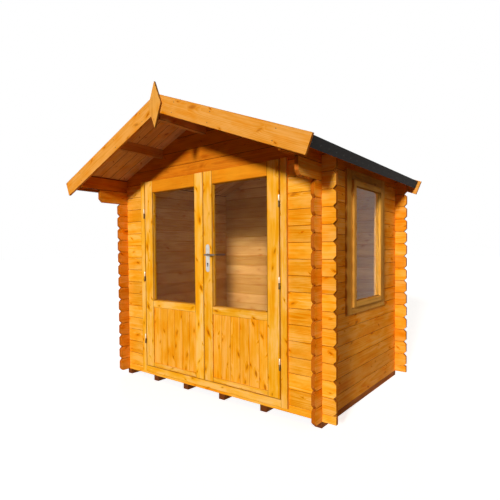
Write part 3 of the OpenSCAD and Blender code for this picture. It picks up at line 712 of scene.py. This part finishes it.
def bead_ring(bm, low, high, profile, to_frame):
    """A mitred bead round a rectangle. The profile gives (inset, depth) points in turn."""
    def outline(inset, depth):
        turn = Matrix.Rotation(math.radians(45), 4, "Z")
        size = Matrix.Diagonal((high[0] - low[0] - 2 * inset, high[1] - low[1] - 2 * inset, 1.0, 1.0))
        shift = Matrix.Translation(((low[0] + high[0]) / 2, (low[1] + high[1]) / 2, depth))
        return to_frame @ shift @ size @ turn

    steps = [outline(*point) for point in (*profile, profile[0])]
    verts = bmesh.ops.create_circle(bm, cap_ends=False, segments=4, radius=math.sqrt(0.5))["verts"]
    bmesh.ops.transform(bm, matrix=steps[0], verts=verts)
    whole = list(verts)
    for one, other in zip(steps, steps[1:]):
        rim = [e for e in edges_of(verts) if all(v in verts for v in e.verts)]
        grown = bmesh.ops.extrude_edge_only(bm, edges=rim)["geom"]
        verts = [g for g in grown if isinstance(g, bmesh.types.BMVert)]
        bmesh.ops.transform(bm, matrix=other @ one.inverted(), verts=verts)
        whole += verts
    bmesh.ops.remove_doubles(bm, verts=whole, dist=1e-5)


def glazing_beads(name, pane, facing, out, finish, body):
    """Beads on both faces of a pane. Facing is the axis that the pane faces, out the way to the outside."""
    wide = bpy.context.scene.cabin_timber.bead
    low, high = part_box(pane)
    level = 1 - facing
    stand = Matrix.Identity(4)
    stand.col[0], stand.col[1], stand.col[2] = (
        Vector([float(i == axis) for i in range(4)]) for axis in (level, 2, facing)
    )
    corner = (low[level] + REBATE, low[2] + REBATE)
    other = (high[level] - REBATE, high[2] - REBATE)
    bm = bmesh.new()
    for section, way in ((OUTER_BEAD, out), (INNER_BEAD, -out)):
        face = high[facing] if way > 0 else low[facing]
        profile = [(wide * share, face + way * off) for share, off in section[::way]]
        bead_ring(bm, corner, other, profile, stand)
    bmesh.ops.recalc_face_normals(bm, faces=bm.faces)
    lay_grain(bm, name.replace("_glazing", ""))
    new_piece(name, bm, finish, body)


def spun(bm, profile, foot, steps=24):
    """A turned shape about Z from (radius, height) points, set on a foot point."""
    before = set(bm.verts)
    verts = [bm.verts.new((r, 0.0, h)) for r, h in profile]
    edges = [bm.edges.new(pair) for pair in zip(verts, verts[1:])]
    bmesh.ops.spin(
        bm, geom=verts + edges, cent=(0.0, 0.0, 0.0), axis=(0.0, 0.0, 1.0), dvec=(0.0, 0.0, 0.0),
        angle=2 * math.pi, steps=steps, use_merge=True, use_duplicate=False,
    )
    bmesh.ops.remove_doubles(bm, verts=[v for v in bm.verts if v not in before], dist=1e-6)
    made = [v for v in bm.verts if v not in before]
    bmesh.ops.recalc_face_normals(bm, faces=list({f for v in made for f in v.link_faces}))
    bmesh.ops.translate(bm, vec=foot, verts=made)


def station(centre, direction, wide, high):
    """A frame across a sweep: scaled sideways and upwards, its third axis along the sweep."""
    forward = Vector(direction).normalized()
    side = Vector((0.0, 0.0, 1.0)).cross(forward).normalized()
    up = forward.cross(side)
    frame_of = Matrix((side * wide, up * high, forward)).transposed().to_4x4()
    return Matrix.Translation(Vector(centre)) @ frame_of


def sweep(bm, stations, segments=16):
    """Extrudes a round face through the stations."""
    made = bmesh.ops.create_circle(bm, cap_ends=True, segments=segments, radius=1.0)["verts"]
    bmesh.ops.transform(bm, matrix=stations[0], verts=made)
    face = next(iter(set.intersection(*(set(v.link_faces) for v in made))))
    start = face
    for one, other in zip(stations, stations[1:]):
        grown = bmesh.ops.extrude_face_region(bm, geom=[face], use_keep_orig=face is start)["geom"]
        verts = [g for g in grown if isinstance(g, bmesh.types.BMVert)]
        face = next(g for g in grown if isinstance(g, bmesh.types.BMFace))
        bmesh.ops.transform(bm, matrix=other @ one.inverted(), verts=verts)


class CABIN_OT_logs(bpy.types.Operator):
    """Eases and grains every log of the four walls"""

    bl_idname = "cabin.logs"
    bl_label = "Logs"

    def execute(self, context):
        for node in (
            "front_bottom_log", "front_left_logs", "front_right_logs", "front_gable_logs", "back_logs",
            "back_gable_logs", "left_logs", "left_roof_log", "right_logs_below_window",
            "right_logs_before_window", "right_logs_behind_window", "right_roof_log",
        ):
            # Side and back logs take the redder copy of the log stain as painted shade.
            finish = "log" if node.startswith("front") else "side"
            # Gable and roof logs take the gable colour: deeper stain and painted shade under the canopy and
            # eaves.
            finish = "gable" if "gable" in node or "roof" in node else finish
            timber(node, finish, "cabin", tongue=TONGUE)
        return {"FINISHED"}


class CABIN_OT_base(bpy.types.Operator):
    """Eases the bearers and lays the floor boards across them"""

    bl_idname = "cabin.base"
    bl_label = "Bearers and floor"

    def execute(self, context):
        timber("bearers", "bearer", "cabin")
        sizes = context.scene.cabin_timber
        low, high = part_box("floor")
        bm = bmesh.new()
        gap, rounding = 0.0004, 0.0012
        for y0, y1 in board_spans(low.y, high.y, sizes.floor_board, gap):
            soften(bm, edges_of(block(bm, (low.x, y0, low.z), (high.x, y1, high.z))), rounding)
        lay_grain(bm, "floor_boards")
        new_piece("floor_boards", bm, "floor", "cabin", ["floor"])
        return {"FINISHED"}


class CABIN_OT_roof_boards(bpy.types.Operator):
    """Lays V-jointed boards down each slope and eases the purlins"""

    bl_idname = "cabin.roof_boards"
    bl_label = "Roof boards"

    def execute(self, context):
        sizes = context.scene.cabin_timber
        gap, ridge_gap, overrun = 0.0003, 0.00015, 0.02
        for node in ("ridge_purlin", "left_purlin", "right_purlin"):
            timber(node, "purlin", "cabin")
        for name, side in (("left", -1), ("right", 1)):
            node = f"{name}_roof_deck"
            low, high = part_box(node)
            run = (high.x - low.x + ridge_gap - DECK_T * math.sin(PITCH)) / math.cos(PITCH)
            ends = sorted((side * low.y, side * high.y))
            bm = bmesh.new()
            for y0, y1 in board_spans(*ends, sizes.roof_board, gap):
                verts = block(bm, (-overrun, y0, 0.0), (run, y1, DECK_T))
                lower = [e for e in edges_along(verts, 0) if e.verts[0].co.z < DECK_T / 2]
                soften(bm, lower, sizes.vee, 1)
            bmesh.ops.transform(bm, matrix=slope_place(side), verts=bm.verts)
            bmesh.ops.bisect_plane(
                bm, geom=list(bm.verts) + list(bm.edges) + list(bm.faces), dist=1e-7,
                plane_co=(side * ridge_gap, 0.0, 0.0), plane_no=(side, 0.0, 0.0), clear_inner=True,
            )
            bmesh.ops.holes_fill(bm, edges=[e for e in bm.edges if e.is_boundary], sides=0)
            lay_grain(bm, node, lambda middle, s=side: slope_frame(s))
            new_piece(f"{name}_roof_boards", bm, "roof", "cabin", [node])
        return {"FINISHED"}


class CABIN_OT_roof_trim(bpy.types.Operator):
    """Eases the bargeboards, eave boards and finial, and nails them"""

    bl_idname = "cabin.roof_trim"
    bl_label = "Roof trim"

    def execute(self, context):
        def along_slope(middle):
            return slope_frame(1 if middle.x > 0 else -1)

        timber("front_bargeboards", "trim", "cabin", along_slope)
        timber("rear_bargeboards", "trim", "cabin", along_slope)
        timber("finial", "finial", "cabin")
        timber("eave_boards", "rail", "cabin", along_slope)
        bm = bmesh.new()
        head, rise = 0.0035, 0.001
        nails_down, nails_off, finial_nails = (0.2, 0.56, 1.1), (-0.07, 0.0), (0.36, 0.56)
        faces = (
            (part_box("front_bargeboards")[0].y, (0.0, -1.0, 0.0)),
            (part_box("rear_bargeboards")[1].y, (0.0, 1.0, 0.0)),
        )
        for y, outward in faces:
            for side in (-1, 1):
                for down in nails_down:
                    for off in nails_off:
                        spot = slope_place(side) @ Vector((down, 0.0, off))
                        nail_head(bm, (spot.x, y, spot.z), outward, head, rise)
        low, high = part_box("finial")
        for share in finial_nails:
            nail_head(bm, (0.0, low.y + rise, low.z + share * (high.z - low.z)), (0, -1, 0), head, rise)
        new_piece("trim_nails", bm, "zinc", "cabin")
        return {"FINISHED"}


class CABIN_OT_felt(bpy.types.Operator):
    """Lays two lapped strips of felt on each slope and one over the ridge, with their nails"""

    bl_idname = "cabin.felt"
    bl_label = "Roofing felt"

    def strip(self, outline, y0, y1, side):
        """One strip over an outline in slope coordinates, with a slight unevenness."""
        bm = bmesh.new()
        raise_prism(bm, outline, y0, y1)
        bmesh.ops.subdivide_edges(bm, edges=edges_along(bm.verts, 1, 1.0), cuts=40, use_grid_fill=True)
        rise, waves = 0.0005, 3
        for vert in bm.verts:
            vert.co.z += rise * noise.noise(Vector((vert.co.x * waves, vert.co.y * waves, side * 5.0)))
        bmesh.ops.transform(bm, matrix=slope_place(side), verts=bm.verts)
        bmesh.ops.recalc_face_normals(bm, faces=bm.faces)
        return bm

    def execute(self, context):
        sizes = context.scene.cabin_roofing
        t, lap_at = sizes.felt, sizes.lap_at
        low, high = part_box("right_felt")
        inset, nail_inset, head_rise = 0.0005, 0.05, 0.0014
        y0, y1 = low.y + inset, high.y - inset

        # Outlines as (down, off) the slope: the lower strip turns down over the eave board, and the
        # upper one climbs on to it in a short ramp
        base, drop, eave = DECK_T + 0.0006, -0.046, EAVE_RUN
        edge, top = eave + 0.003, lap_at - sizes.lap
        ridge, ramp = 0.001, 0.02
        climb, crest, over = top - 0.002, top - 0.004, base + t + 0.0004
        lower = [
            (top, base), (eave, base), (eave, drop), (edge, drop), (edge, base + t * 0.5),
            (edge - t * 0.5, base + t), (top, base + t),
        ]
        upper = [
            (ridge, base), (climb - ramp, base), (climb, over), (lap_at, over), (lap_at, base + 2 * t),
            (crest, base + 2 * t), (crest - ramp, base + t), (ridge, base + t),
        ]
        # Rows of nails in the drip edge, the lap and the ridge strip, and the way their heads face
        rows = (
            (edge, -0.018, (1.0, 0.0, 0.0)),
            (lap_at - 0.02, base + 2 * t, (0.0, 0.0, 1.0)),
            (0.14, base + 2 * t + 0.0009, (0.0, 0.0, 1.0)),
        )
        nails = bmesh.new()
        for name, side in (("left", -1), ("right", 1)):
            ends = sorted((side * y0, side * y1))
            bm = self.strip(lower, *ends, side)
            new_piece(f"{name}_lower_felt", bm, "felt", "cabin", [f"{name}_felt"])
            bm = self.strip(upper, *ends, side)
            new_piece(f"{name}_upper_felt", bm, "felt", "cabin")
            place, turn = slope_place(side), slope_frame(side)
            for y in even_places(y0 + nail_inset, y1 - nail_inset, sizes.nail_pitch):
                for down, off, outward in rows:
                    spot = place @ Vector((down, y * side, off))
                    nail_head(nails, spot, turn @ Vector(outward), sizes.nail, head_rise)

        # The ridge strip folds over the top in a soft bend
        cap = []
        lift = base + t + 0.0007
        for up, order in ((lift + t, 1), (lift, -1)):
            bend = [(0.155, up), (0.05, up), (0.018, up - 0.0004)]
            right = [slope_place(1) @ Vector((down, 0.0, off)) for down, off in bend]
            arch = [(p.x, p.z) for p in right] + [(-p.x, p.z) for p in reversed(right)]
            cap += arch[::order]
        bm = bmesh.new()
        raise_prism(bm, cap, y0, y1)
        new_piece("ridge_cap_felt", bm, "felt", "cabin", ["ridge_felt"])
        new_piece("felt_nails", nails, "zinc", "cabin")
        return {"FINISHED"}


class CABIN_OT_doorway(bpy.types.Operator):
    """Eases the jambs, the threshold and the stops"""

    bl_idname = "cabin.doorway"
    bl_label = "Doorway"

    def execute(self, context):
        for node in ("door_jambs", "door_threshold", "door_stops"):
            timber(node, "door", "cabin")
        return {"FINISHED"}


class CABIN_OT_leaves(bpy.types.Operator):
    """Eases stiles and rails, boards the panels and beads the glass of both leaves"""

    bl_idname = "cabin.leaves"
    bl_label = "Door leaves"

    def execute(self, context):
        sizes = context.scene.cabin_timber
        gap = 0.0002
        for side, body in BODIES.items():
            timber(f"{side}_leaf_stiles", "door", body, arris=sizes.arris)
            rails = timber(f"{side}_leaf_rails", "door", body, arris=sizes.arris)
            rails.data.materials.append(finish_for("rail"))
            for face in rails.data.polygons:
                face.material_index = int(face.center.z > TOP_RAIL_Z)
            node = f"{side}_leaf_panel"
            low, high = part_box(node)
            bm = bmesh.new()
            for x0, x1 in board_spans(low.x, high.x, sizes.panel_board, gap):
                verts = block(bm, (x0, low.y, low.z), (x1, high.y, high.z))
                soften(bm, edges_along(verts, 2), sizes.vee, 1)
            lay_grain(bm, node)
            new_piece(f"{side}_panel_boards", bm, "panel", body, [node])
            glazing_beads(f"{side}_glazing_beads", f"{side}_leaf_glass", 1, -1, "door", body)
        return {"FINISHED"}


class CABIN_OT_window(bpy.types.Operator):
    """Eases the window's frame and sash and beads its glass"""

    bl_idname = "cabin.window"
    bl_label = "Window"

    def execute(self, context):
        timber("window_frame", "sash", "cabin")
        timber("window_sash", "sash", "cabin")
        glazing_beads("window_glazing_beads", "window_glass", 0, 1, "sash", "cabin")
        return {"FINISHED"}


class CABIN_OT_glass(bpy.types.Operator):
    """Gives the three panes their glass"""

    bl_idname = "cabin.glass"
    bl_label = "Glass"

    def execute(self, context):
        for node in ("window_glass", "left_leaf_glass", "right_leaf_glass"):
            pane = NODES[node]
            pane.data.materials.clear()
            pane.data.materials.append(finish_for("glass"))
        return {"FINISHED"}


class CABIN_OT_hinges(bpy.types.Operator):
    """Turns the barrel hinges with their screw-in pins"""

    bl_idname = "cabin.hinges"
    bl_label = "Hinges"

    def execute(self, context):
        half, shank, shank_z = 0.045, 0.0032, 0.026
        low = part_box("frame_hinges")[0]
        foot, top = low.z + half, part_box("left_leaf_hinges")[1].z - half
        heights = (foot, (foot + top) / 2, top)
        axis_y = low.y + HINGE_R
        lower = [
            (0.0, -half), (0.0035, -half + 0.0003), (0.006, -half + 0.0018), (HINGE_R, -half + 0.0048),
            (HINGE_R, -0.0022), (0.0064, -0.0014), (0.0064, -0.0004), (0.0, -0.0004),
        ]
        upper = [(r, -h) for r, h in reversed(lower)]
        groups = (
            ("frame_hinges", "frame_hinge_barrels", "cabin", (-1, 1), lower, -shank_z),
            ("left_leaf_hinges", "left_hinge_barrels", "left_door", (-1,), upper, shank_z),
            ("right_leaf_hinges", "right_hinge_barrels", "right_door", (1,), upper, shank_z),
        )
        for node, name, body, sides, profile, pin_z in groups:
            on_frame = body == "cabin"
            into = WALL_FRONT_Y - (0.0185 if on_frame else 0.0205)
            aside = 0.0035 if on_frame else -0.0035
            bm = bmesh.new()
            for side in sides:
                x = side * (HINGE_X + aside)
                for z in heights:
                    spun(bm, profile, (side * HINGE_X, axis_y, z))
                    ends = ((x, y, z + pin_z) for y in (axis_y, into))
                    sweep(bm, [station(end, (0, 1, 0), shank, shank) for end in ends], 12)
            round_off(bm)
            # Painted shade on the frame's halves, painted highlight on the leaves' halves
            new_piece(name, bm, "pintle" if on_frame else "hinge", body, [node])
        return {"FINISHED"}


class CABIN_OT_lock(bpy.types.Operator):
    """Finishes the lock plates with screws, and shapes the lever on both faces"""

    bl_idname = "cabin.lock"
    bl_label = "Lock and lever"

    def execute(self, context):
        low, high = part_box("lock_plates")
        bm = eased_copy("lock_plates", 0.0008)
        screw_in, head, rise = 0.012, 0.0038, 0.0016
        faces = ((low.y, -1), (high.y, 1))
        for y, out in faces:
            for z in (low.z + screw_in, high.z - screw_in):
                nail_head(bm, (LOCK_X, y, z), (0, out, 0), head, rise)
        new_piece("lock_plate_set", bm, "steel", "right_door", ["lock_plates"])

        # The lock's barrel and the slot under it, seen in the keyhole on both faces, near black as painted
        # shade in the keyhole
        bm = bmesh.new()
        key_z = LOCK_Z - KEY_DROP
        half_slot, slot_foot = 0.0037, key_z - 0.0237
        barrel, slot = ((0.0028, 0.0077), (0.0006, 0.0077), (0.0003, 0.0070)), (0.0028, 0.0004)
        for y, out in faces:
            sweep(bm, [station((LOCK_X, y - out * sunk, key_z), (0, out, 0), r, r) for sunk, r in barrel])
            y0, y1 = sorted(y - out * sunk for sunk in slot)
            block(bm, (LOCK_X - half_slot, y0, slot_foot), (LOCK_X + half_slot, y1, key_z))
        bmesh.ops.recalc_face_normals(bm, faces=bm.faces)
        new_piece("lock_barrel", bm, "dark", "right_door")

        # Each lever: a collar and a neck off the plate, a bend, then a grip that thins to a rounded tip
        bm = bmesh.new()
        bend, neck = 0.014, 0.0063
        collar = ((0.0004, 0.0105), (0.005, 0.0105), (0.007, 0.0085), (0.0075, neck))
        grip = (
            (0.03, 0.0058, 0.0066), (0.06, 0.0054, 0.0069), (0.09, 0.0048, 0.0068),
            (0.104, 0.0044, 0.0064), (0.109, 0.0034, 0.0050), (0.1115, 0.0016, 0.0024),
        )
        for face_y, grip_y, out in ((low.y, GRIP_OUTSIDE_Y, -1), (high.y, GRIP_INSIDE_Y, 1)):
            path = [station((LOCK_X, face_y + out * off, LOCK_Z), (0, out, 0), r, r) for off, r in collar]
            path.append(station((LOCK_X, grip_y - out * bend, LOCK_Z), (0, out, 0), neck, neck))
            for turn in (22.5, 45, 67.5, 90):
                a = math.radians(turn)
                x, y = LOCK_X + bend * (1 - math.cos(a)), grip_y - out * bend * (1 - math.sin(a))
                path.append(station((x, y, LOCK_Z), (math.sin(a), out * math.cos(a), 0), neck, 0.0064))
            path += [
                station((LOCK_X + along, grip_y, LOCK_Z), (1, 0, 0), wide, tall) for along, wide, tall in grip
            ]
            sweep(bm, path, 20)
        spindle, reach = 0.0045, 0.003
        ends = ((LOCK_X, y, LOCK_Z) for y in (low.y - reach, high.y + reach))
        sweep(bm, [station(end, (0, 1, 0), spindle, spindle) for end in ends], 12)
        round_off(bm)
        new_piece("lever_set", bm, "lever", "lever", ["lever_handle"])
        return {"FINISHED"}


class CABIN_OT_stage(bpy.types.Operator):
    """Sets up the floor, the light and the camera"""

    bl_idname = "cabin.stage"
    bl_label = "Stage"

    def lay_floor(self, settings):
        bm = bmesh.new()
        bmesh.ops.create_grid(bm, x_segments=1, y_segments=1, size=60.0)
        s = Shade(bpy.data.materials.new("studio_floor"))
        matt = s.node("ShaderNodeBsdfDiffuse")
        seen = s.seen()
        dimmed = [c * settings.floor_bounce for c in settings.floor]
        s.put(matt.inputs["Color"], s.mix(seen, dimmed, settings.floor))
        lift = s.node("ShaderNodeEmission")
        s.put(lift.inputs["Strength"], s.times(seen, settings.floor_lift))
        both = s.node("ShaderNodeAddShader")
        s.tree.links.new(matt.outputs[0], both.inputs[0])
        s.tree.links.new(lift.outputs[0], both.inputs[1])
        s.show(both)
        floor = set_down("studio_floor", bm, s.owner)

    def light(self, scene, settings):
        white = (1.0, 1.0, 1.0)
        for name, key, shade in (
            ("key_light", "sun", white), ("side_light", "side", settings.side_colour),
            ("rear_light", "rear", white),
        ):
            travel = getattr(settings, f"{key}_travel")
            lamp = bpy.data.lights.new(name, "SUN")
            lamp.energy = getattr(settings, key)
            lamp.color = shade
            lamp.angle = getattr(settings, f"{key}_width")
            holder = bpy.data.objects.new(name, lamp)
            holder.rotation_mode = "QUATERNION"
            holder.rotation_quaternion = Vector(travel).to_track_quat("-Z", "Y")
            scene.collection.objects.link(holder)
        world = bpy.data.worlds.new("studio_light")
        s = Shade(world, "ShaderNodeOutputWorld")
        glow = s.node("ShaderNodeBackground")
        s.put(glow.inputs["Color"], (1.0, 1.0, 1.0, 1.0))
        s.put(glow.inputs["Strength"], s.scaled(s.seen(), 1.0 - settings.fill, settings.fill))
        s.show(glow)
        scene.world = world

    def aim(self, scene, settings):
        turn, dip, roll = settings.yaw, settings.dip, settings.roll
        ahead = Vector((-math.sin(turn) * math.cos(dip), math.cos(turn) * math.cos(dip), -math.sin(dip)))
        right = Vector((math.cos(turn), math.sin(turn), 0.0))
        up = right.cross(ahead)
        side = right * math.cos(roll) + up * math.sin(roll)
        top = up * math.cos(roll) - right * math.sin(roll)
        lens = bpy.data.cameras.new("photo_view")
        lens.sensor_width = 36.0
        lens.lens = settings.lens
        lens.shift_x, lens.shift_y = settings.shift_x, settings.shift_y
        camera = bpy.data.objects.new("photo_view", lens)
        turned = Matrix((side, top, -ahead)).transposed().to_4x4()
        camera.matrix_world = Matrix.Translation(settings.eye) @ turned
        scene.collection.objects.link(camera)
        scene.camera = camera

    def execute(self, context):
        settings = context.scene.cabin_stage
        context.scene.view_settings.view_transform = "Standard"
        self.lay_floor(settings)
        self.light(context.scene, settings)
        self.aim(context.scene, settings)
        return {"FINISHED"}


STEPS = (
    CABIN_OT_logs, CABIN_OT_base, CABIN_OT_roof_boards, CABIN_OT_roof_trim, CABIN_OT_felt, CABIN_OT_doorway,
    CABIN_OT_leaves, CABIN_OT_window, CABIN_OT_glass, CABIN_OT_hinges, CABIN_OT_lock, CABIN_OT_stage,
)
GROUPS = {
    "cabin_timber": CabinTimber, "cabin_roofing": CabinRoofing, "cabin_finish": CabinFinish,
    "cabin_stage": CabinStage,
}


class CABIN_PT_sidebar(bpy.types.Panel):
    """Lists the cabin's steps and the values they use"""

    bl_label = "Log cabin"
    bl_space_type = "VIEW_3D"
    bl_region_type = "UI"
    bl_category = "Cabin"

    def draw(self, context):
        for step in STEPS:
            self.layout.operator(step.bl_idname)
        for key, group in GROUPS.items():
            box = self.layout.box()
            box.label(text=group.__doc__)
            for name in group.__annotations__:
                box.prop(getattr(context.scene, key), name)


def register():
    for cls in (*GROUPS.values(), *STEPS, CABIN_PT_sidebar):
        bpy.utils.register_class(cls)
    for key, group in GROUPS.items():
        setattr(bpy.types.Scene, key, PointerProperty(type=group))


def unregister():
    for key in GROUPS:
        delattr(bpy.types.Scene, key)
    for cls in reversed((*GROUPS.values(), *STEPS, CABIN_PT_sidebar)):
        bpy.utils.unregister_class(cls)


def main():
    register()
    for step in STEPS:
        group, name = step.bl_idname.split(".")
        getattr(getattr(bpy.ops, group), name)()


if __name__ == "__main__":
    main()
